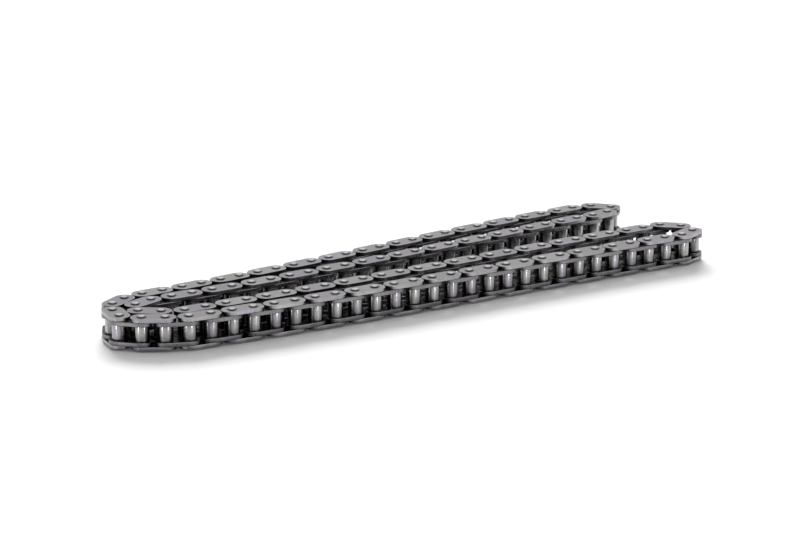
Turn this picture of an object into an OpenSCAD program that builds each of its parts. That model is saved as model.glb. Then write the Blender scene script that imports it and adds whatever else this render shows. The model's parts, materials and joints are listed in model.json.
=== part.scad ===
// Endless roller chain, lying on its side and folded in half like a horseshoe.
// Units are millimetres. Every pin stands upright; z = 0 is the lower end of the pins.
// The chain closes on itself: outer and inner links take turns all the way round.

/* [Chain size] */
// Distance from one pin to the next
pitch = 9.525; // [9.4:0.025:12]
// Clear width between the plates of an inner link
inner_width = 6.75; // [4:0.05:9]
// Outside diameter of a roller
roller_d = 6.35; // [5.6:0.05:6.4]
// Depth of a link plate across the chain
plate_depth = 9; // [7.5:0.05:9.1]
// Thickness of an outer link plate
outer_plate_t = 1.5; // [0.8:0.05:2]
// Thickness of an inner link plate
inner_plate_t = 1.6; // [0.8:0.05:2]

/* [Pins and bushes] */
// Diameter of a pin
pin_d = 3.28; // [2.8:0.02:3.4]
// How far the riveted end spreads past the pin, all round
rivet_spread = 0.16; // [0.05:0.01:0.4]
// Length of pin that stands out past the outer plate
rivet_h = 0.65; // [0.4:0.05:1.6]
// Outside diameter of a bush
bush_d = 4.7; // [4.4:0.05:5]
// Chamfer on the ends of pins, bushes and rollers
chamfer = 0.2; // [0.05:0.05:0.3]

/* [Clearances] */
// Gap all round a pin turning in its bush
pin_gap = 0.03; // [0.02:0.01:0.08]
// Gap all round each pin where a loop of links is closed
closing_gap = 0.09; // [0.07:0.01:0.1]
// Gap all round a bush inside its roller
roller_gap = 0.05; // [0.02:0.01:0.1]
// Gap all round a pressed seat
seat_gap = 0.01; // [0.01:0.005:0.02]
// Gap between an inner plate and the outer plate beside it
side_gap = 0.07; // [0.03:0.01:0.2]
// Gap between the end of a roller and the inner plate
end_gap = 0.05; // [0.02:0.01:0.2]

/* [Hidden] */
$fn = 48;
links = 120;

// Heights of the layers, counted up from the lower end of the pins
z_outer_low = rivet_h;
z_inner_low = z_outer_low + outer_plate_t + side_gap;
z_roller = z_inner_low + inner_plate_t;
z_inner_high = z_roller + inner_width;
z_outer_high = z_inner_high + inner_plate_t + side_gap;
pin_len = z_outer_high + outer_plate_t + rivet_h;
bush_len = inner_width + 2 * inner_plate_t;

// Diameter of the riveted end of a pin
rivet_d = pin_d + 2 * rivet_spread;

// Heading of link i along a run from link a to link b. It starts and ends
// a little off the mean c: a slope s over the run and a gentle bow w.
function run(i, a, b, c, s, w) =
    let (t = (2 * i - a - b) / (b - a))
    c + s * t + w * (t * t - 1 / 3);

// Heading of each link in degrees. Even links are outer links, odd links inner.
// The runs are computed; the links of the two left bends and of the two
// hairpins on the right are set one by one, as the chain happens to lie.
function heading(i) =
    i < 3 ? [128, 168, 182][i]
    : i < 27 ? run(i, 3, 26, 183.1, -1.1, -4.7)
    : i < 34 ? [189, 210, 240, 257, 308, 325, 335][i - 27]
    : i < 60 ? run(i, 34, 59, -3.6, 1.7, -3.6)
    : i < 64 ? [20, 81, 132, 177][i - 60]
    : i < 89 ? run(i, 64, 88, 178.9, -0.7, -2.7)
    : i < 93 ? [156, 139, 66, 18][i - 89]
    : i < 117 ? run(i, 93, 116, 1.4, 3.5, -2.7)
    : [0, 7, 40][i - 117];

function step(i) = pitch * [cos(heading(i)), sin(heading(i))];

// Pins 1 to 119, one equal step after another from pin 1
walked = [for (i = 1, p = [0, 0]; i < links; p = p + step(i), i = i + 1) p];

// Pin 0 closes the loop: it is one pitch from pin 119 and one pitch from pin 1
gap_vector = walked[0] - walked[links - 2];
gap_half = norm(gap_vector) / 2;
gap_unit = gap_vector / norm(gap_vector);
closing_rise = sqrt(max(pitch * pitch - gap_half * gap_half, 0));
closing_pin = (walked[0] + walked[links - 2]) / 2
    + closing_rise * [gap_unit[1], -gap_unit[0]];
loose = concat([closing_pin], walked);

// Middle of the whole chain, so that it stands centred on the origin
xs = [for (p = loose) p[0]];
ys = [for (p = loose) p[1]];
middle = [(min(xs) + max(xs)) / 2, (min(ys) + max(ys)) / 2];
pin_at = [for (p = loose) p - middle];

function link_angle(i) =
    let (d = pin_at[(i + 1) % links] - pin_at[i % links])
    atan2(d[1], d[0]);

// Which sub-part to build: "all" or one name from the list above

// ---- Single pieces, each standing at its own origin ----

// Flat plate with round ends and two holes, first hole at the origin
module plate(thickness, hole_d) {
    linear_extrude(height = thickness)
        difference() {
            union() {
                translate([0, -plate_depth / 2])
                    square([pitch, plate_depth]);
                circle(d = plate_depth);
                translate([pitch, 0])
                    circle(d = plate_depth);
            }
            circle(d = hole_d);
            translate([pitch, 0])
                circle(d = hole_d);
        }
}

// Pin with a riveted end above and below the outer plates
module pin() {
    rotate_extrude()
        polygon([
            [0, 0],
            [rivet_d / 2 - chamfer, 0],
            [rivet_d / 2, chamfer],
            [rivet_d / 2, rivet_h - rivet_spread],
            [pin_d / 2, rivet_h],
            [pin_d / 2, pin_len - rivet_h],
            [rivet_d / 2, pin_len - rivet_h + rivet_spread],
            [rivet_d / 2, pin_len - chamfer],
            [rivet_d / 2 - chamfer, pin_len],
            [0, pin_len]
        ]);
}

// Ring of a given length, chamfered on its outer edges
module ring(bore, outside, length) {
    rotate_extrude()
        polygon([
            [bore / 2, 0],
            [outside / 2 - chamfer, 0],
            [outside / 2, chamfer],
            [outside / 2, length - chamfer],
            [outside / 2 - chamfer, length],
            [bore / 2, length]
        ]);
}

// ---- Pieces put in their place along the chain ----

module at_pin(i) {
    translate([pin_at[i % links][0], pin_at[i % links][1], 0])
        children();
}

module along_link(i) {
    at_pin(i)
        rotate([0, 0, link_angle(i)])
            children();
}

// Both outer plates of link i
module outer_plates(i) {
    along_link(i) {
        translate([0, 0, z_outer_low])
            plate(outer_plate_t, pin_d + 2 * seat_gap);
        translate([0, 0, z_outer_high])
            plate(outer_plate_t, pin_d + 2 * seat_gap);
    }
}

// Both inner plates of link i
module inner_plates(i) {
    along_link(i) {
        translate([0, 0, z_inner_low])
            plate(inner_plate_t, bush_d + 2 * seat_gap);
        translate([0, 0, z_inner_high])
            plate(inner_plate_t, bush_d + 2 * seat_gap);
    }
}

// Pins where a loop of links is closed: both hairpins and the inner left bend
function closes_a_loop(i) = i == 0 || i == 62 || i == 91;

// Bush at pin i, with more room round a pin that closes a loop
module bush(i) {
    gap = closes_a_loop(i % links) ? closing_gap : pin_gap;
    at_pin(i)
        translate([0, 0, z_inner_low])
            ring(pin_d + 2 * gap, bush_d, bush_len);
}

module roller(i) {
    at_pin(i)
        translate([0, 0, z_roller + end_gap])
            ring(bush_d + 2 * roller_gap, roller_d, inner_width - 2 * end_gap);
}

// ---- Back outer strand: links 1 to 29 ----

module back_outer_strand_outer_plates() {
    color([0.66, 0.65, 0.67])
        for (i = [2:2:28])
            outer_plates(i);
}

module back_outer_strand_pins() {
    color([0.80, 0.80, 0.82])
        for (i = [2:29])
            at_pin(i)
                pin();
}

module back_outer_strand_inner_plates() {
    color([0.58, 0.57, 0.60])
        for (i = [1:2:29])
            inner_plates(i);
}

module back_outer_strand_bushes() {
    color([0.50, 0.50, 0.52])
        for (i = [1:30])
            bush(i);
}

module back_outer_strand_rollers() {
    color([0.74, 0.74, 0.76])
        for (i = [1:30])
            roller(i);
}

// ---- Front outer strand: links 30 to 59 ----

module front_outer_strand_outer_plates() {
    color([0.66, 0.65, 0.67])
        for (i = [30:2:58])
            outer_plates(i);
}

module front_outer_strand_pins() {
    color([0.80, 0.80, 0.82])
        for (i = [30:59])
            at_pin(i)
                pin();
}

module front_outer_strand_inner_plates() {
    color([0.58, 0.57, 0.60])
        for (i = [31:2:59])
            inner_plates(i);
}

module front_outer_strand_bushes() {
    color([0.50, 0.50, 0.52])
        for (i = [31:60])
            bush(i);
}

module front_outer_strand_rollers() {
    color([0.74, 0.74, 0.76])
        for (i = [31:60])
            roller(i);
}

// ---- Front inner strand: links 63 to 86 ----

module front_inner_strand_outer_plates() {
    color([0.66, 0.65, 0.67])
        for (i = [64:2:86])
            outer_plates(i);
}

module front_inner_strand_pins() {
    color([0.80, 0.80, 0.82])
        for (i = [64:87])
            at_pin(i)
                pin();
}

module front_inner_strand_inner_plates() {
    color([0.58, 0.57, 0.60])
        for (i = [63:2:85])
            inner_plates(i);
}

module front_inner_strand_bushes() {
    color([0.50, 0.50, 0.52])
        for (i = [63:86])
            bush(i);
}

module front_inner_strand_rollers() {
    color([0.74, 0.74, 0.76])
        for (i = [63:86])
            roller(i);
}

// ---- Back inner strand: links 95 to 117 ----

module back_inner_strand_outer_plates() {
    color([0.66, 0.65, 0.67])
        for (i = [96:2:116])
            outer_plates(i);
}

module back_inner_strand_pins() {
    color([0.80, 0.80, 0.82])
        for (i = [96:117])
            at_pin(i)
                pin();
}

module back_inner_strand_inner_plates() {
    color([0.58, 0.57, 0.60])
        for (i = [95:2:117])
            inner_plates(i);
}

module back_inner_strand_bushes() {
    color([0.50, 0.50, 0.52])
        for (i = [95:118])
            bush(i);
}

module back_inner_strand_rollers() {
    color([0.74, 0.74, 0.76])
        for (i = [95:118])
            roller(i);
}

// ---- Inner bend link 1: inner link 87 ----

module inner_bend_link_1_plates() {
    color([0.58, 0.57, 0.60])
        inner_plates(87);
}

module inner_bend_link_1_bushes() {
    color([0.50, 0.50, 0.52])
        for (i = [87:88])
            bush(i);
}

module inner_bend_link_1_roller_a() {
    color([0.74, 0.74, 0.76])
        roller(87);
}

module inner_bend_link_1_roller_b() {
    color([0.74, 0.74, 0.76])
        roller(88);
}

// ---- Inner bend link 2: outer link 88 ----

module inner_bend_link_2_plates() {
    color([0.66, 0.65, 0.67])
        outer_plates(88);
}

module inner_bend_link_2_pins() {
    color([0.80, 0.80, 0.82])
        for (i = [88:89])
            at_pin(i)
                pin();
}

// ---- Inner bend link 3: inner link 89 ----

module inner_bend_link_3_plates() {
    color([0.58, 0.57, 0.60])
        inner_plates(89);
}

module inner_bend_link_3_bushes() {
    color([0.50, 0.50, 0.52])
        for (i = [89:90])
            bush(i);
}

module inner_bend_link_3_roller_a() {
    color([0.74, 0.74, 0.76])
        roller(89);
}

module inner_bend_link_3_roller_b() {
    color([0.74, 0.74, 0.76])
        roller(90);
}

// ---- Inner bend link 4: outer link 90 ----

module inner_bend_link_4_plates() {
    color([0.66, 0.65, 0.67])
        outer_plates(90);
}

module inner_bend_link_4_pins() {
    color([0.80, 0.80, 0.82])
        for (i = [90:91])
            at_pin(i)
                pin();
}

// ---- Inner bend link 5: inner link 91 ----

module inner_bend_link_5_plates() {
    color([0.58, 0.57, 0.60])
        inner_plates(91);
}

module inner_bend_link_5_bushes() {
    color([0.50, 0.50, 0.52])
        for (i = [91:92])
            bush(i);
}

module inner_bend_link_5_roller_a() {
    color([0.74, 0.74, 0.76])
        roller(91);
}

module inner_bend_link_5_roller_b() {
    color([0.74, 0.74, 0.76])
        roller(92);
}

// ---- Inner bend link 6: outer link 92 ----

module inner_bend_link_6_plates() {
    color([0.66, 0.65, 0.67])
        outer_plates(92);
}

module inner_bend_link_6_pins() {
    color([0.80, 0.80, 0.82])
        for (i = [92:93])
            at_pin(i)
                pin();
}

// ---- Inner bend link 7: inner link 93 ----

module inner_bend_link_7_plates() {
    color([0.58, 0.57, 0.60])
        inner_plates(93);
}

module inner_bend_link_7_bushes() {
    color([0.50, 0.50, 0.52])
        for (i = [93:94])
            bush(i);
}

module inner_bend_link_7_roller_a() {
    color([0.74, 0.74, 0.76])
        roller(93);
}

module inner_bend_link_7_roller_b() {
    color([0.74, 0.74, 0.76])
        roller(94);
}

// ---- Inner bend link 8: outer link 94 ----

module inner_bend_link_8_plates() {
    color([0.66, 0.65, 0.67])
        outer_plates(94);
}

module inner_bend_link_8_pins() {
    color([0.80, 0.80, 0.82])
        for (i = [94:95])
            at_pin(i)
                pin();
}

// ---- Front hairpin link 1: outer link 60 ----

module front_hairpin_link_1_plates() {
    color([0.66, 0.65, 0.67])
        outer_plates(60);
}

module front_hairpin_link_1_pins() {
    color([0.80, 0.80, 0.82])
        for (i = [60:61])
            at_pin(i)
                pin();
}

// ---- Front hairpin link 2: inner link 61 ----

module front_hairpin_link_2_plates() {
    color([0.58, 0.57, 0.60])
        inner_plates(61);
}

module front_hairpin_link_2_bushes() {
    color([0.50, 0.50, 0.52])
        for (i = [61:62])
            bush(i);
}

module front_hairpin_link_2_roller_a() {
    color([0.74, 0.74, 0.76])
        roller(61);
}

module front_hairpin_link_2_roller_b() {
    color([0.74, 0.74, 0.76])
        roller(62);
}

// ---- Front hairpin link 3: outer link 62 ----

module front_hairpin_link_3_plates() {
    color([0.66, 0.65, 0.67])
        outer_plates(62);
}

module front_hairpin_link_3_pins() {
    color([0.80, 0.80, 0.82])
        for (i = [62:63])
            at_pin(i)
                pin();
}

// ---- Back hairpin link 1: outer link 118 ----

module back_hairpin_link_1_plates() {
    color([0.66, 0.65, 0.67])
        outer_plates(118);
}

module back_hairpin_link_1_pins() {
    color([0.80, 0.80, 0.82])
        for (i = [118:119])
            at_pin(i)
                pin();
}

// ---- Back hairpin link 2: inner link 119 ----

module back_hairpin_link_2_plates() {
    color([0.58, 0.57, 0.60])
        inner_plates(119);
}

module back_hairpin_link_2_bushes() {
    color([0.50, 0.50, 0.52])
        for (i = [119:120])
            bush(i);
}

module back_hairpin_link_2_roller_a() {
    color([0.74, 0.74, 0.76])
        roller(119);
}

module back_hairpin_link_2_roller_b() {
    color([0.74, 0.74, 0.76])
        roller(120);
}

// ---- Back hairpin link 3: outer link 0 ----

module back_hairpin_link_3_plates() {
    color([0.66, 0.65, 0.67])
        outer_plates(0);
}

module back_hairpin_link_3_pins() {
    color([0.80, 0.80, 0.82])
        for (i = [0:1])
            at_pin(i)
                pin();
}

// ---- What is built ----

back_outer_strand_outer_plates();
back_outer_strand_pins();
back_outer_strand_inner_plates();
back_outer_strand_bushes();
back_outer_strand_rollers();
front_outer_strand_outer_plates();
front_outer_strand_pins();
front_outer_strand_inner_plates();
front_outer_strand_bushes();
front_outer_strand_rollers();
front_inner_strand_outer_plates();
front_inner_strand_pins();
front_inner_strand_inner_plates();
front_inner_strand_bushes();
front_inner_strand_rollers();
back_inner_strand_outer_plates();
back_inner_strand_pins();
back_inner_strand_inner_plates();
back_inner_strand_bushes();
back_inner_strand_rollers();
inner_bend_link_1_plates();
inner_bend_link_1_bushes();
inner_bend_link_1_roller_a();
inner_bend_link_1_roller_b();
inner_bend_link_2_plates();
inner_bend_link_2_pins();
inner_bend_link_3_plates();
inner_bend_link_3_bushes();
inner_bend_link_3_roller_a();
inner_bend_link_3_roller_b();
inner_bend_link_4_plates();
inner_bend_link_4_pins();
inner_bend_link_5_plates();
inner_bend_link_5_bushes();
inner_bend_link_5_roller_a();
inner_bend_link_5_roller_b();
inner_bend_link_6_plates();
inner_bend_link_6_pins();
inner_bend_link_7_plates();
inner_bend_link_7_bushes();
inner_bend_link_7_roller_a();
inner_bend_link_7_roller_b();
inner_bend_link_8_plates();
inner_bend_link_8_pins();
front_hairpin_link_1_plates();
front_hairpin_link_1_pins();
front_hairpin_link_2_plates();
front_hairpin_link_2_bushes();
front_hairpin_link_2_roller_a();
front_hairpin_link_2_roller_b();
front_hairpin_link_3_plates();
front_hairpin_link_3_pins();
back_hairpin_link_1_plates();
back_hairpin_link_1_pins();
back_hairpin_link_2_plates();
back_hairpin_link_2_bushes();
back_hairpin_link_2_roller_a();
back_hairpin_link_2_roller_b();
back_hairpin_link_3_plates();
back_hairpin_link_3_pins();
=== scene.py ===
# %% [markdown]
# # A roller chain, folded in half on a pale floor
#
# The chain is an endless loop of steel links lying on its side, so every pin
# stands upright. Outer links (two plates and two riveted pins) take turns with
# inner links (two plates, two bushes and two rollers). This lesson loads the
# engineering model, measures where each link is, and then lays a finely
# finished plate, pin and roller on every one of them.

import json
import math

import bpy
import numpy as np
from mathutils import Matrix


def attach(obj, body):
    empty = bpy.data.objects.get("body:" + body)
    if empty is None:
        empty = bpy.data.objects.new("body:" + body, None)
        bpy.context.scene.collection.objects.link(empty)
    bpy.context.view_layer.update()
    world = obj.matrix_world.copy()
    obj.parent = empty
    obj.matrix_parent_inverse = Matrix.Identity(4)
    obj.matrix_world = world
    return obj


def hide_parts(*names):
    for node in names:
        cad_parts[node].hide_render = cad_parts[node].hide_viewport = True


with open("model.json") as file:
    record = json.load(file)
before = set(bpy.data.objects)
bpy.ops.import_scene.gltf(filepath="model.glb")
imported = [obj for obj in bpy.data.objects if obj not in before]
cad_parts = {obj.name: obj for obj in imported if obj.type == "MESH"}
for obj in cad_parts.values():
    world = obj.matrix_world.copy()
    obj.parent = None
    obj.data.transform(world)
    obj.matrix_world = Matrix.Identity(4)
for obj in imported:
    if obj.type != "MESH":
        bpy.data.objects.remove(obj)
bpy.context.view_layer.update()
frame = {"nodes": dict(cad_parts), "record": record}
nodes = frame["nodes"]
bodies = frame["record"]["behaviour"]["bodies"]
MM = 0.001
print("bodies:", len(bodies), "nodes:", len(nodes))

# %% [markdown]
# ## Measuring the links
#
# Nothing is placed by eye. Pins, bushes and rollers are upright and round, so
# the vertices of one of them all lie close to its own axis and far from the
# next one. Grouping the vertices by distance gives each axis. Each part holds
# one link, or one long run that heads one way along X, so sorting its axes by
# X puts them link by link, and every two of them are the ends of one link.


# %% Helpers that measure the engineering parts
ONE_PIN = 5 * MM
ROUND_THE_AXIS = 3.3 * MM


def points_of(node):
    """All vertices of an engineering part as an (n, 3) array, in metres."""
    mesh = nodes[node].data
    flat = np.empty(len(mesh.vertices) * 3)
    mesh.vertices.foreach_get("co", flat)
    return flat.reshape(-1, 3)


def pin_axes(node):
    """Upright axes of the pins in a part, as an (n, 2) array.

    Two vertices of the lower ends belong to one pin when they are nearer than
    about half a pitch; the first such vertex names the group, and the middle
    of the group's box is the axis.
    """
    xyz = points_of(node)
    ends = np.unique(xyz[xyz[:, 2] < xyz[:, 2].min() + 1e-6][:, :2].round(7), axis=0)
    apart = np.linalg.norm(ends[:, None] - ends[None], axis=2)
    group = np.argmax(apart < ONE_PIN, axis=1)
    pins = [ends[group == g] for g in np.unique(group)]
    return np.array([(pin.min(axis=0) + pin.max(axis=0)) / 2 for pin in pins])


def axes_in(node):
    """The pin axes that a part's holes or rings stand on, sorted by x."""
    xy = np.unique(points_of(node)[:, :2].round(6), axis=0)
    nearest = np.linalg.norm(all_axes[:, None] - xy[None], axis=2).min(axis=1)
    mine = all_axes[nearest < ROUND_THE_AXIS]
    return mine[np.argsort(mine[:, 0])]


def levels_of(node):
    """Lowest and highest z of a part, then every distinct height in between."""
    return np.unique(points_of(node)[:, 2].round(6))


def radii_of(node, axes):
    """Smallest and largest distance from a vertex to the nearest axis."""
    xyz = points_of(node)
    away = np.linalg.norm(xyz[:, None, :2] - axes[None], axis=2).min(axis=1)
    return away.min(), away.max()


def kind_of(node):
    """What a part is, told from the end of its name."""
    for word in ("pins", "bushes", "rollers", "roller_a", "roller_b"):
        if node.endswith("_" + word):
            return "rollers" if word.startswith("roller") else word
    return "plates"


body_of_node = {n: b for b, members in bodies.items() for n in members}
slot_of_node = {s["node"]: s["material_slot"] for s in frame["record"]["subparts"]}
all_axes = np.concatenate([pin_axes(n) for n in nodes if kind_of(n) == "pins"])
root_pins = axes_in("back_outer_strand_pins")
root_bushes = axes_in("back_outer_strand_bushes")
PITCH = float(np.linalg.norm(root_pins[1] - root_pins[0]))
PIN_RADII = radii_of("back_outer_strand_pins", root_pins)
OUTER_HOLE, PLATE_R = radii_of("back_outer_strand_outer_plates", root_pins)
INNER_HOLE = radii_of("back_outer_strand_inner_plates", root_bushes)[0]
ROLLER_RADII = radii_of("back_outer_strand_rollers", root_bushes)
print("pins:", len(all_axes))
print(f"pitch {PITCH / MM:.3f} mm, plate depth {2 * PLATE_R / MM:.2f} mm")
print(f"roller {2 * ROLLER_RADII[1] / MM:.2f} mm over a {2 * ROLLER_RADII[0] / MM:.2f} mm bore")

# %% [markdown]
# ## Surfaces from arrays
#
# A chain repeats a few shapes a hundred times. Each shape is worked out once,
# as an array of points and an array of four-cornered faces, and whole-array
# arithmetic copies it to every link. Two values travel with the points. `rim`
# is 1 on the edges that rub bright, -1 where shade is painted in, and 0 elsewhere.
# `tone` is one number per piece, because no two stampings come out of the
# hardening furnace alike. The UV map runs along each piece, so grain and
# turning marks follow it round the bends.


# %% Shape helpers
def strips(rings, columns, closed_rings, closed_columns):
    """Four-cornered faces between neighbouring rings of a rings x columns grid."""
    r = np.arange(rings if closed_rings else rings - 1)
    c = np.arange(columns if closed_columns else columns - 1)
    r, c = np.meshgrid(r, c, indexing="ij")
    r2, c2 = (r + 1) % rings, (c + 1) % columns
    quads = np.stack([r * columns + c, r * columns + c2, r2 * columns + c2, r2 * columns + c], -1)
    return quads.reshape(-1, 4)


def turned(profile, columns, rim_marks, closed):
    """Surface of revolution about z: each (r, z) of the profile makes a ring.

    x = r cos(a), y = r sin(a), with a running once round the circle. Returns
    points, faces, rim and uv; u is the way round and v the way along. worn
    holds one rim value for each ring.
    """
    profile = np.asarray(profile, float)
    a = np.arange(columns) * 2 * math.pi / columns
    r, z = profile[:, :1], profile[:, 1:]
    xyz = np.stack([r * np.cos(a), r * np.sin(a), z + 0 * a], -1).reshape(-1, 3)
    rim = rim_marks.repeat(columns)
    along = np.concatenate([[0], np.cumsum(np.linalg.norm(np.diff(profile, axis=0), axis=1))])
    uv = np.stack([np.tile(a / (2 * math.pi), len(profile)) * 2 * math.pi * PIN_RADII[1],
                   along.repeat(columns)], -1)
    return xyz, strips(len(profile), columns, closed, True), rim, uv


def placed(shape, origins, angles):
    """Copies of a shape turned by each angle about z and moved to each origin."""
    xyz, quads, rim, uv = shape
    n, m = len(origins), len(xyz)
    cos, sin = np.cos(angles)[:, None], np.sin(angles)[:, None]
    x = xyz[:, 0] * cos - xyz[:, 1] * sin + origins[:, :1]
    y = xyz[:, 0] * sin + xyz[:, 1] * cos + origins[:, 1:2]
    out = np.stack([x, y, np.tile(xyz[:, 2], (n, 1))], -1).reshape(-1, 3)
    faces = (quads[None] + np.arange(n)[:, None, None] * m).reshape(-1, 4)
    return out, faces, np.tile(rim, n), np.tile(uv, (n, 1)), np.arange(n).repeat(m)


def joined(first, second):
    """Two placed sets of copies as one, with the copy numbers kept apart."""
    a, b = first, second
    faces = np.concatenate([a[1], b[1] + len(a[0])])
    copies = np.concatenate([a[4], b[4] + a[4].max() + 1])
    return (np.concatenate([a[0], b[0]]), faces, np.concatenate([a[2], b[2]]),
            np.concatenate([a[3], b[3]]), copies)


# Painted shade on walls that face another run: full within the first distance, none past the second.
SHADE_FULL_WITHIN = 9.0 * MM
SHADE_NONE_BEYOND = 12.5 * MM


def facing_shade(xyz, core):
    """How much painted shade a point on a side wall gets from facing another run
    of the chain, 0 to 1.

    n is the way out of the wall: from the nearest point of the link's own
    middle line to the point. Only pins that lie more than 2 mm along n count.
    With d the distance to the nearest of them, the shade is (far - d) / (far - near),
    held between 0 and 1, darkest where the other run keeps the most light off.
    """
    out = xyz[:, :2] - core
    out = out / np.maximum(np.linalg.norm(out, axis=1, keepdims=True), 1e-9)
    to_pin = all_axes[None] - xyz[:, None, :2]
    faced = (to_pin * out[:, None]).sum(axis=2) > 2 * MM
    nearest = np.where(faced, np.linalg.norm(to_pin, axis=2), 1.0).min(axis=1)
    return np.clip((SHADE_NONE_BEYOND - nearest) / (SHADE_NONE_BEYOND - SHADE_FULL_WITHIN), 0, 1)


def with_painted_shade(rim, shade_amount, depth):
    """Rim values with painted shade laid over them: each value times one less the shade, less the depth
    times the shade.
    """
    return rim * (1 - shade_amount) - depth * shade_amount


tone_draw = np.random.default_rng(11)
CREASE = math.radians(33)


def make_piece(name, node, copies, material):
    """A Blender object for one engineering part, riding on that part's body."""
    xyz, quads, rim, uv, number = copies
    mesh = bpy.data.meshes.new(name)
    mesh.from_pydata(xyz.tolist(), [], quads.tolist())
    tone = tone_draw.random(number.max() + 1)[number]
    for word, values in (("rim", rim), ("tone", tone)):
        mesh.attributes.new(word, "FLOAT", "POINT").data.foreach_set("value", values.astype(np.float32))
    corner = np.empty(len(mesh.loops), dtype=np.int32)
    mesh.loops.foreach_get("vertex_index", corner)
    mesh.uv_layers.new(name="along").data.foreach_set("uv", uv[corner].astype(np.float32).ravel())
    mesh.polygons.foreach_set("use_smooth", np.ones(len(mesh.polygons), dtype=bool))
    mesh.set_sharp_from_angle(angle=CREASE)
    mesh.materials.append(material)
    piece = bpy.data.objects.new(name, mesh)
    bpy.context.scene.collection.objects.link(piece)
    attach(piece, body_of_node[node])
    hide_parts(node)
    return piece


# %% [markdown]
# ## Steel finishes
#
# Every part of a chain is steel, but each is finished its own way. Plates are
# stamped and tumbled: a satin grey with a faint violet or straw cast from
# heat treatment, and edges that rubbing has polished bright. Rollers and pins
# are turned and polished. The fine rings round them spread a reflection along
# the axis and not across it, so a light shows as one upright stripe. Three
# shared effects make the rest: a grain that follows the piece, wear along the
# rims together with painted shade in hollows and between the parts, and a thin,
# patchy film of oil. Each effect is one node group that puts out plain masks.


# %% Node helpers
def new_group(name, inputs, outputs):
    """An empty shader node group with float inputs (name, value) and outputs."""
    group = bpy.data.node_groups.new(name, "ShaderNodeTree")
    for word, value in inputs:
        socket = group.interface.new_socket(word, in_out="INPUT", socket_type="NodeSocketFloat")
        socket.default_value = value
    for word in outputs:
        group.interface.new_socket(word, in_out="OUTPUT", socket_type="NodeSocketFloat")
    return group, group.nodes.new("NodeGroupInput"), group.nodes.new("NodeGroupOutput")


def node_in(tree, kind, **settings):
    """A new node; settings are properties, or input values when so named."""
    made = tree.nodes.new(kind)
    for word, value in settings.items():
        if hasattr(made, word):
            setattr(made, word, value)
        else:
            made.inputs[word.replace("_", " ")].default_value = value
    return made


def maths(tree, operation, a, b=None, clamp=False):
    """A Math node of two values or links, and its output."""
    made = node_in(tree, "ShaderNodeMath", operation=operation, use_clamp=clamp)
    for socket, value in zip(made.inputs, (a, b)):
        if value is None:
            continue
        if isinstance(value, (int, float)):
            socket.default_value = value
        else:
            tree.links.new(value, socket)
    return made.outputs[0]


# %% Grain along the piece
def grain_group():
    """Noise stretched along the UV map's u: fine lines that follow the piece."""
    inputs = [("Lines per mm", 6.0), ("Stretch", 0.06)]
    group, given, result = new_group("grain_along_piece", inputs, ["Grain"])
    uv = node_in(group, "ShaderNodeUVMap", uv_map="along")
    split = node_in(group, "ShaderNodeSeparateXYZ")
    group.links.new(uv.outputs[0], split.inputs[0])
    per_metre = maths(group, "MULTIPLY", given.outputs["Lines per mm"], 1000.0)
    across = maths(group, "MULTIPLY", split.outputs[1], per_metre)
    along = maths(group, "MULTIPLY", split.outputs[0], per_metre)
    along = maths(group, "MULTIPLY", along, given.outputs["Stretch"])
    tone = node_in(group, "ShaderNodeAttribute", attribute_name="tone")
    join = node_in(group, "ShaderNodeCombineXYZ")
    group.links.new(along, join.inputs[0])
    group.links.new(across, join.inputs[1])
    group.links.new(maths(group, "MULTIPLY", tone.outputs["Fac"], 40.0), join.inputs[2])
    noise = node_in(group, "ShaderNodeTexNoise", Scale=1.0, Detail=3.0, Roughness=0.6)
    group.links.new(join.outputs[0], noise.inputs["Vector"])
    group.links.new(noise.outputs[0], result.inputs[0])
    return group


# %% Wear and painted shade along the rims
def rim_group():
    """Wear is the rim value where it is above 0, broken up by noise, so bright
    metal comes and goes. Painted shade is the rim value below 0, with its sign turned."""
    group, given, result = new_group("rim_wear_and_shade", [("Amount", 0.8)], ["Wear", "Painted shade"])
    rim = node_in(group, "ShaderNodeAttribute", attribute_name="rim")
    place = node_in(group, "ShaderNodeTexCoord")
    noise = node_in(group, "ShaderNodeTexNoise", Scale=900.0, Detail=3.0)
    group.links.new(place.outputs["Object"], noise.inputs["Vector"])
    broken = maths(group, "ADD", maths(group, "MULTIPLY", noise.outputs[0], 0.9), 0.25, clamp=True)
    rim_marks = maths(group, "MULTIPLY", maths(group, "MAXIMUM", rim.outputs["Fac"], 0.0), broken)
    # Painted shade: the rim value below 0, with its sign turned.
    turned_sign = maths(group, "MULTIPLY", rim.outputs["Fac"], -1.0)
    group.links.new(maths(group, "MAXIMUM", turned_sign, 0.0, clamp=True), result.inputs[1])
    group.links.new(maths(group, "MULTIPLY", rim_marks, given.outputs["Amount"], clamp=True), result.inputs[0])
    return group


# %% A patchy film of oil
def oil_group():
    """Soft blotches a few millimetres across, and much finer specks."""
    group, given, result = new_group("oil_film", [("Blotch per mm", 0.22)], ["Film", "Specks"])
    place = node_in(group, "ShaderNodeTexCoord")
    per_metre = maths(group, "MULTIPLY", given.outputs[0], 1000.0)
    blotch = node_in(group, "ShaderNodeTexNoise", Detail=3.0, Roughness=0.55)
    speck = node_in(group, "ShaderNodeTexNoise", Detail=4.0, Roughness=0.7)
    for noise, scale in ((blotch, per_metre), (speck, maths(group, "MULTIPLY", per_metre, 9.0))):
        group.links.new(place.outputs["Object"], noise.inputs["Vector"])
        group.links.new(scale, noise.inputs["Scale"])
    for k, (noise, low, high) in enumerate(((blotch, 0.42, 0.62), (speck, 0.55, 0.68))):
        ramp = node_in(group, "ShaderNodeMapRange", From_Min=low, From_Max=high)
        group.links.new(noise.outputs[0], ramp.inputs["Value"])
        group.links.new(ramp.outputs[0], result.inputs[k])
    return group


GRAIN, RIM, OIL = grain_group(), rim_group(), oil_group()
print("shared effects:", GRAIN.name, RIM.name, OIL.name)


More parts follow.
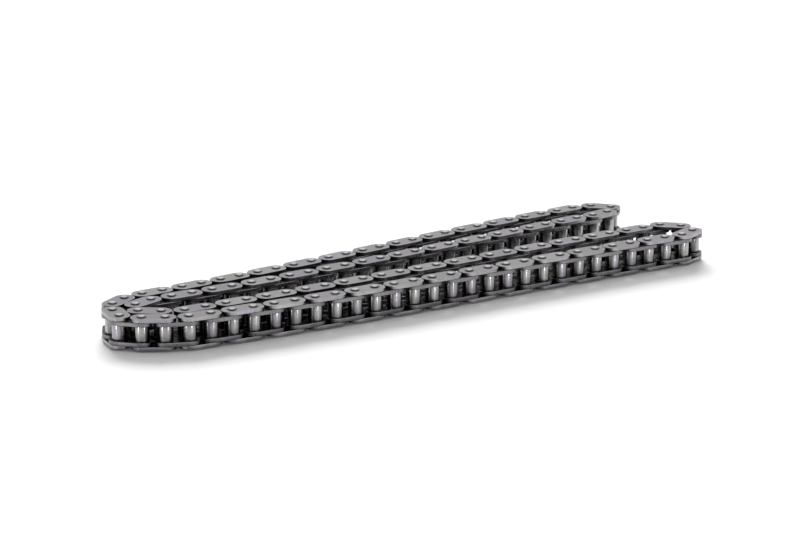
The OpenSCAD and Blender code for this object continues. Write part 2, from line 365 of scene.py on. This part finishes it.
# %% The steel itself
def steel(name, dark, light, bright, rough, grain, wear, casts, turning=0.0):
    """A steel finish. Its colour runs from dark to light with the piece's own
    tone, leans to one of two heat casts, turns bright on rubbed rims and nearly
    black where shade is painted in. grain is (lines per mm, relief in mm,
    stretch), and oil makes some patches smoother and darker.
    spread a reflection along the axis."""
    grain_lines, grain_depth, stretch = grain
    material = bpy.data.materials.new(name)
    material.use_nodes = True
    tree = material.node_tree
    shader = tree.nodes["Principled BSDF"]
    shader.inputs["Metallic"].default_value = 1.0
    lines = node_in(tree, "ShaderNodeGroup", node_tree=GRAIN)
    lines.inputs["Lines per mm"].default_value = grain_lines
    lines.inputs["Stretch"].default_value = stretch
    rim = node_in(tree, "ShaderNodeGroup", node_tree=RIM)
    rim.inputs["Amount"].default_value = wear
    oil = node_in(tree, "ShaderNodeGroup", node_tree=OIL)
    tone = node_in(tree, "ShaderNodeAttribute", attribute_name="tone")

    def blend(a, b, factor, mode="MIX"):
        mix = node_in(tree, "ShaderNodeMix", data_type="RGBA", blend_type=mode)
        for socket, value in ((mix.inputs[0], factor), (mix.inputs[6], a), (mix.inputs[7], b)):
            if isinstance(value, (tuple, float)):
                socket.default_value = (*value, 1.0) if isinstance(value, tuple) else value
            else:
                tree.links.new(value, socket)
        return mix.outputs[2]

    colour = blend(dark, light, tone.outputs["Fac"])
    cast_pick = maths(tree, "FRACT", maths(tree, "MULTIPLY", tone.outputs["Fac"], 7.3))
    cast = blend(casts[0], casts[1], maths(tree, "GREATER_THAN", cast_pick, 0.42))
    colour = blend(colour, cast, 0.45, "MULTIPLY")
    fine = maths(tree, "MULTIPLY", maths(tree, "SUBTRACT", lines.outputs[0], 0.5), 0.5)
    lit = maths(tree, "ADD", fine, 1.0)
    grey = node_in(tree, "ShaderNodeCombineColor")
    for socket in grey.inputs:
        tree.links.new(lit, socket)
    colour = blend(colour, grey.outputs[0], 1.0, "MULTIPLY")
    film = maths(tree, "MULTIPLY", oil.outputs["Film"], 0.45)
    colour = blend(colour, tuple(0.62 * c for c in dark), film)
    colour = blend(colour, bright, rim.outputs["Wear"])
    # Painted shade: nearly black where the rim value is below 0.
    colour = blend(colour, tuple(0.16 * c for c in dark), rim.outputs["Painted shade"])
    tree.links.new(colour, shader.inputs["Base Color"])

    roughness = maths(tree, "ADD", maths(tree, "MULTIPLY", lines.outputs[0], 0.16), rough - 0.08)
    smoother = maths(tree, "MULTIPLY", oil.outputs["Film"], 0.06)
    rougher = maths(tree, "MULTIPLY", oil.outputs["Specks"], 0.07)
    roughness = maths(tree, "SUBTRACT", roughness, smoother)
    roughness = maths(tree, "ADD", roughness, rougher, clamp=True)
    tree.links.new(roughness, shader.inputs["Roughness"])
    bump = node_in(tree, "ShaderNodeBump", Strength=0.35, Distance=grain_depth * MM)
    tree.links.new(lines.outputs[0], bump.inputs["Height"])
    tree.links.new(bump.outputs[0], shader.inputs["Normal"])
    if turning:
        lay = node_in(tree, "ShaderNodeTangent", direction_type="UV_MAP", uv_map="along")
        tree.links.new(lay.outputs[0], shader.inputs["Tangent"])
        shader.inputs["Anisotropic"].default_value = turning
        shader.inputs["Anisotropic Rotation"].default_value = 0.25
    return material


VIOLET, STRAW = (0.93, 0.84, 1.0), (1.0, 0.99, 0.94)
ROLLED, PRESSED = (5.0, 0.008, 0.5), (9.0, 0.004, 0.05)
finish = {
    "outer_plate": steel("outer_plate_steel", dark=(0.30, 0.295, 0.305), light=(0.40, 0.395, 0.405),
                         bright=(0.75, 0.74, 0.76), rough=0.34, grain=ROLLED, wear=0.8,
                         casts=(VIOLET, STRAW)),
    "inner_plate": steel("inner_plate_steel", dark=(0.17, 0.165, 0.17), light=(0.24, 0.235, 0.24),
                         bright=(0.60, 0.59, 0.60), rough=0.32, grain=ROLLED, wear=0.7,
                         casts=(VIOLET, STRAW)),
    "pin": steel("pin_steel", dark=(0.42, 0.415, 0.42), light=(0.52, 0.515, 0.52),
                 bright=(0.80, 0.79, 0.80), rough=0.13, grain=(9.0, 0.002, 0.05), wear=0.9,
                 casts=(STRAW, VIOLET), turning=0.4),
    "bush": steel("bush_steel", dark=(0.20, 0.195, 0.20), light=(0.26, 0.255, 0.26),
                  bright=(0.4, 0.4, 0.4), rough=0.34, grain=PRESSED, wear=0.4,
                  casts=(STRAW, VIOLET)),
    "roller": steel("roller_steel", dark=(0.38, 0.375, 0.385), light=(0.47, 0.465, 0.475),
                    bright=(0.72, 0.71, 0.72), rough=0.24, grain=(9.0, 0.003, 0.04), wear=0.6,
                    casts=(VIOLET, STRAW), turning=0.85),
}
print("finishes:", ", ".join(finish))

# %% [markdown]
# ## Link plates
#
# A link plate is stamped: a flat with round ends, two holes, and an edge that
# tumbling has softened into a narrow bevel. The outline at any inset d is the
# set of points at distance R - d from the line between the two holes, so one
# rule gives the face, the bevel and the wall. Each plate is made as two halves,
# a fan round each hole, that meet on the middle line. Shade is painted into a
# collar round the rivet, onto inward faces and low on the lower plates' walls.

# %% The plate's shape
BEVEL = 0.16 * MM
RIM_WIDTH = 0.22 * MM
COLLAR = 0.5 * MM
ARC_STEPS = 12
MIDDLE_STEPS = 4
# How dark the painted shade is: on faces that look inward, low on the lower plates, and on walls that
# face another run.
SHADE_INSIDE, SHADE_LOW, SHADE_FACED = 1.0, 0.45, 0.85


def half_plate(hole, thickness):
    """Half a plate round the hole at the origin, as far as x = pitch / 2.

    Columns go round the hole: over the round end, along one side, down the
    middle line and back along the other side. Rings go over the section: hole
    edge, collar and flat on the upper face (0 to 3), bevel, wall and bevel
    (4 to 7), and flat and hole edge on the lower face (8 and 9). On the middle
    line rings 3 to 8 fall together, so nothing joins them there.
    """
    turn = np.linspace(math.pi / 2, 3 * math.pi / 2, ARC_STEPS + 1)
    normal = np.concatenate([np.stack([np.cos(turn), np.sin(turn)], -1), [[0, -1]], [[0, 1]]])
    core = np.zeros((ARC_STEPS + 3, 2))
    core[-2:, 0] = PITCH / 2
    down = np.linspace(-1, 1, MIDDLE_STEPS + 1)[1:-1]
    middle = np.stack([np.full(len(down), PITCH / 2), down * (PLATE_R - BEVEL - RIM_WIDTH)], -1)

    def outline(inset):
        edge = core + normal * (PLATE_R - inset)
        return np.concatenate([edge[:-1], middle, edge[-1:]])

    inner = outline(BEVEL)
    around = inner / np.linalg.norm(inner, axis=1, keepdims=True)
    flat = outline(BEVEL + RIM_WIDTH)
    upper = [around * hole, around * (hole + COLLAR), around * (hole + 1.25 * COLLAR), flat, inner]
    rings = [(xy, thickness) for xy in upper]
    rings += [(outline(0), thickness - BEVEL), (outline(0), BEVEL)]
    rings += [(inner, 0.0), (flat, 0.0), (around * hole, 0.0)]
    xyz = np.concatenate([np.column_stack([xy, np.full(len(xy), z)]) for xy, z in rings])
    columns = len(inner)
    quads = strips(len(rings), columns, True, True)
    ring, column = quads[:, 0] // columns, quads[:, 0] % columns
    on_middle = (column >= ARC_STEPS + 1) & (column <= ARC_STEPS + MIDDLE_STEPS)
    quads = quads[~(on_middle & (ring >= 3) & (ring <= 7))]
    # Below 0 is painted shade in the collar round the hole; above 0 is wear on the bevels and a little on
    # the wall.
    rim = np.array([-1, -0.9, 0, 0, 1, 0.12, 0.12, 1, 0, 0]).repeat(columns)
    is_middle = np.zeros(columns, dtype=bool)
    is_middle[ARC_STEPS + 2:ARC_STEPS + 1 + MIDDLE_STEPS] = True
    rim[np.tile(is_middle, len(rings)) & (rim > 0)] = 0
    return xyz, quads, rim, np.arange(len(xyz)) // columns


def plate(hole, low, high, is_lower):
    """A whole plate from z = low to high: the half and its turn by half a circle
    about the plate's centre, with the shared middle line welded. A lower plate
    looks inward with its upper face, and an upper plate with its lower one."""
    xyz, quads, rim, ring = half_plate(hole, high - low)
    # Painted shade on the face that looks inward, and low on the wall of a lower plate.
    rim[np.isin(ring, (0, 1, 2, 3) if is_lower else (8, 9))] = -SHADE_INSIDE
    if is_lower:
        rim[np.isin(ring, (6, 7))] = -SHADE_LOW
    other = xyz * (-1, -1, 1) + (PITCH, 0, 0)
    both = np.concatenate([xyz, other])
    both[:, 2] += low
    faces = np.concatenate([quads, quads + len(xyz)])
    first, same = np.unique(both.round(8), axis=0, return_index=True, return_inverse=True)[1:]
    faces = same.ravel()[faces]
    used, faces = np.unique(faces, return_inverse=True)
    both, rims = both[first][used], np.concatenate([rim, rim])[first][used]
    return both, faces.reshape(-1, 4), rims, both[:, :2].copy()


def plate_pair(node, axes, hole):
    """Lower and upper plates of every link in a part. Links run from one axis
    of each pair to the other. Walls that face another run get painted shade: the
    middle line's nearest point is start + t span, with t held in 0 to 1."""
    z = levels_of(node)
    ends = axes.reshape(-1, 2, 2)
    way = ends[:, 1] - ends[:, 0]
    angles = np.arctan2(way[:, 1], way[:, 0])
    low = placed(plate(hole, z[0], z[1], True), ends[:, 0], angles)
    high = placed(plate(hole, z[-2], z[-1], False), ends[:, 0], angles)
    xyz, faces, rim, uv, copies = joined(low, high)
    start, span = ends[copies % len(ends), 0], way[copies % len(ends)]
    t = np.clip(((xyz[:, :2] - start) * span).sum(axis=1) / PITCH ** 2, 0, 1)
    core = start + t[:, None] * span
    wall = np.linalg.norm(xyz[:, :2] - core, axis=1) > PLATE_R - BEVEL / 2
    # Painted shade on the walls that face another run of the chain.
    return xyz, faces, with_painted_shade(rim, facing_shade(xyz, core) * wall, SHADE_FACED), uv, copies


# %% Lay the plates on every link
plate_pieces = []
for node, body in body_of_node.items():
    if kind_of(node) != "plates":
        continue
    outer = slot_of_node[node] == "outer_plate"
    copies = plate_pair(node, axes_in(node), OUTER_HOLE if outer else INNER_HOLE)
    plate_pieces.append(make_piece("steel_" + node, node, copies, finish[slot_of_node[node]]))
print("plate pieces:", len(plate_pieces), "faces per plate:", len(plate(OUTER_HOLE, 0, MM, True)[1]))

# %% [markdown]
# ## Pins and rollers
#
# Both are turned on a lathe, so both are surfaces of revolution. The pin's end
# is riveted: it spreads a little past the hole into a low dome, bright on top,
# with shade painted round its side. The roller is a plain ring, with its edges
# rounded over, and shade painted into its bore and where it faces another run.

# %% Pins
ROUND_STEPS = 20


def pin_shape(node):
    """Profile of a riveted pin, mirrored about its middle height.

    The dome is a list of (inset from the head's radius, drop from the top);
    worn gives one rim value for each point, from the shank to the middle.
    """
    z = levels_of(node)
    low, high = z[0], z[-1]
    head = PIN_RADII[1]
    shank = OUTER_HOLE - 0.01 * MM
    stand = z[z < (low + high) / 2][-1] - low
    dome = [(0.0, 0.46), (0.13, 0.28), (0.36, 0.12), (0.66, 0.03), (0.95, 0.0)]
    upper = [(shank, high - stand), (head, high - stand + (head - shank))]
    upper += [(head - inset * MM, high - drop * MM) for inset, drop in dome]
    upper += [(0.0001 * MM, high - 0.05 * MM)]
    lower = [(r, low + high - h) for r, h in reversed(upper)]
    # Below 0 is painted shade on the head's side and the lower dome; above 0 near the top turns bright.
    rim_marks = np.array([0, -1, -0.9, -0.75, -0.3, 1, 0.9, 0.1])
    return turned(lower + upper, ROUND_STEPS, np.concatenate([rim_marks[::-1], rim_marks]), False)


# %% Rollers
def roller_shape(node):
    """Profile of a ring with rounded edges, closed through its bore."""
    z = levels_of(node)
    low, high = z[0], z[-1]
    bore, outside = ROLLER_RADII
    edge = 0.22 * MM
    bend = np.linspace(0, math.pi / 2, 4)
    top = [(outside - edge + edge * math.cos(t), high - edge + edge * math.sin(t)) for t in bend]
    bottom = [(r, low + high - h) for r, h in reversed(top)]
    profile = [(bore, high), (bore, low)] + bottom + top
    # Painted shade in the bore (below 0); wear on the rounded edges (above 0).
    rim_marks = np.array([-1, -1, 0, 0.7, 0.7, 0, 0, 0.7, 0.7, 0])
    return turned(profile, ROUND_STEPS + 4, rim_marks, True)


round_pieces = []
for node, body in body_of_node.items():
    if kind_of(node) in ("pins", "rollers"):
        axes = axes_in(node)
        shape = pin_shape(node) if kind_of(node) == "pins" else roller_shape(node)
        copies = placed(shape, axes, np.zeros(len(axes)))
        if kind_of(node) == "rollers":
            # Painted shade on the side of each roller that faces another run of the chain.
            shade_amount = facing_shade(copies[0], axes[copies[4]])
            copies = (*copies[:2], with_painted_shade(copies[2], shade_amount, 0.75), *copies[3:])
        round_pieces.append(make_piece("steel_" + node, node, copies, finish[slot_of_node[node]]))
print("pin and roller pieces:", len(round_pieces))

# %% [markdown]
# ## Bushes
#
# A bush is a plain ring that only shows as a thin circle in the side gap, so
# the engineering part is already the right shape. It stays, and only its
# finish changes.

# %% Finish the bushes
for node in nodes:
    if kind_of(node) == "bushes":
        mesh = nodes[node].data
        mesh.materials.clear()
        mesh.materials.append(finish["bush"])

# %% [markdown]
# ## Floor, light and camera
#
# The chain lies on a seamless white sweep. A broad sun behind it throws the
# soft shadow forwards; polished steel would mirror it as a white glare, so it
# isn't seen in reflections. What the steel mirrors is the studio: walls that
# are bright behind and dim in front, with a dark skirt near the floor, a panel
# overhead that lights the bevels, and two low strips in front that draw the
# upright stripes on the rollers. A little glow, seen only by the camera and in
# reflections, lifts the unshaded floor to clean white.

# %% Floor
FLOOR_SIZE = 6.0
floor_mesh = bpy.data.meshes.new("floor")
half = FLOOR_SIZE / 2
floor_corners = [(x * half, y * half, 0) for x, y in ((-1, -1), (1, -1), (1, 1), (-1, 1))]
floor_mesh.from_pydata(floor_corners, [], [(0, 1, 2, 3)])
floor = bpy.data.objects.new("floor", floor_mesh)
bpy.context.scene.collection.objects.link(floor)


def seen_directly(tree):
    """1 for camera, mirror and clear-glass rays, 0 for the light that spreads."""
    path = node_in(tree, "ShaderNodeLightPath")
    either = maths(tree, "MAXIMUM", path.outputs["Is Camera Ray"], path.outputs["Is Glossy Ray"])
    return maths(tree, "MAXIMUM", either, path.outputs["Is Transmission Ray"])


def floor_paper(albedo, glow):
    """Matt white paper, plus a glow that only shows."""
    material = bpy.data.materials.new("white_sweep")
    material.use_nodes = True
    tree = material.node_tree
    shader = tree.nodes["Principled BSDF"]
    shader.inputs["Roughness"].default_value = 0.9
    shader.inputs["Specular IOR Level"].default_value = 0.2
    shader.inputs["Base Color"].default_value = (albedo, albedo, albedo, 1)
    light = node_in(tree, "ShaderNodeEmission")
    light.inputs["Color"].default_value = (1, 1, 1, 1)
    tree.links.new(maths(tree, "MULTIPLY", seen_directly(tree), glow), light.inputs["Strength"])
    add = node_in(tree, "ShaderNodeAddShader")
    tree.links.new(shader.outputs[0], add.inputs[0])
    tree.links.new(light.outputs[0], add.inputs[1])
    tree.links.new(add.outputs[0], tree.nodes["Material Output"].inputs["Surface"])
    return material


floor_mesh.materials.append(floor_paper(albedo=0.80, glow=0.05))
print("floor:", FLOOR_SIZE, "m square")

# %% Studio walls
world = bpy.data.worlds.new("studio")
bpy.context.scene.world = world
world.use_nodes = True
tree = world.node_tree
sky = tree.nodes["Background"]
sky.inputs["Color"].default_value = (1, 1, 1, 1)
looking = node_in(tree, "ShaderNodeTexCoord")
lean = node_in(tree, "ShaderNodeVectorMath", operation="DOT_PRODUCT")
lean.inputs[1].default_value = (0.55, 0.80, 0.25)
tree.links.new(looking.outputs["Generated"], lean.inputs[0])
wall = node_in(tree, "ShaderNodeMapRange", From_Min=-0.5, From_Max=0.7, To_Min=0.36, To_Max=0.88)
tree.links.new(lean.outputs["Value"], wall.inputs["Value"])
height = node_in(tree, "ShaderNodeSeparateXYZ")
tree.links.new(looking.outputs["Generated"], height.inputs[0])
skirt = node_in(tree, "ShaderNodeMapRange", From_Min=0.04, From_Max=0.17, To_Min=0.04, To_Max=1.0)
tree.links.new(height.outputs["Z"], skirt.inputs["Value"])
tree.links.new(maths(tree, "MULTIPLY", wall.outputs[0], skirt.outputs[0]), sky.inputs["Strength"])


# %% Lamps
def panel(name, place, aim, size, power):
    """A square soft light at a place, turned to face a point."""
    lamp = bpy.data.lights.new(name, "AREA")
    lamp.shape = "RECTANGLE"
    lamp.size, lamp.size_y = size
    lamp.energy = power
    holder = bpy.data.objects.new(name, lamp)
    bpy.context.scene.collection.objects.link(holder)
    holder.location = place
    away = np.asarray(place, float) - np.asarray(aim, float)
    flat = math.hypot(away[0], away[1])
    holder.rotation_euler = (math.atan2(flat, away[2]), 0, math.atan2(away[0], -away[1]))
    return holder


def sun(name, turn, rise, angle, strength):
    """Parallel light from a compass turn (from +X) and a rise above the floor;
    the wider its angle, the softer the shadow."""
    lamp = bpy.data.lights.new(name, "SUN")
    lamp.angle = math.radians(angle)
    lamp.energy = strength
    holder = bpy.data.objects.new(name, lamp)
    bpy.context.scene.collection.objects.link(holder)
    holder.rotation_euler = (math.radians(90 - rise), 0, math.radians(turn + 90))
    return holder


key = sun("back_light", turn=62, rise=30, angle=34, strength=4.9)
key.visible_glossy = False
mirrored = [
    panel("left_strip", (-1.20, -0.25, 0.045), (0, 0, 0), (0.10, 0.07), 2.0),
    panel("front_strip", (0.12, -1.25, 0.045), (0, 0, 0), (0.08, 0.07), 1.7),
    panel("overhead", (0.05, 0.0, 1.2), (0.05, 0.001, 0), (0.9, 0.9), 2.2),
]
for lamp in mirrored:
    lamp.visible_diffuse = False
print("lamps:", key.name, *(lamp.name for lamp in mirrored))

# %% Camera
VIEW_TURN = math.radians(-35.4)
VIEW_DROP = math.radians(14.79)
VIEW_ROLL = math.radians(-0.27)
CAMERA_PLACE = (-0.6732, -0.9467, 0.3182)
eye = bpy.data.cameras.new("camera")
eye.sensor_width = 36.0
eye.lens = 125.7
eye.clip_start = 0.01
camera = bpy.data.objects.new("camera", eye)
bpy.context.scene.collection.objects.link(camera)
camera.location = CAMERA_PLACE
right = np.array([math.cos(VIEW_TURN), math.sin(VIEW_TURN), 0])
level = math.cos(VIEW_DROP)
ahead = np.array([-math.sin(VIEW_TURN) * level, math.cos(VIEW_TURN) * level, -math.sin(VIEW_DROP)])
up = np.cross(right, ahead)
across = math.cos(VIEW_ROLL) * right + math.sin(VIEW_ROLL) * up
upward = math.cos(VIEW_ROLL) * up - math.sin(VIEW_ROLL) * right
turn = Matrix(np.column_stack([across, upward, -ahead]).tolist())
camera.rotation_euler = turn.to_euler()
bpy.context.scene.camera = camera
bpy.context.scene.view_settings.view_transform = "Standard"
print("camera at", CAMERA_PLACE)
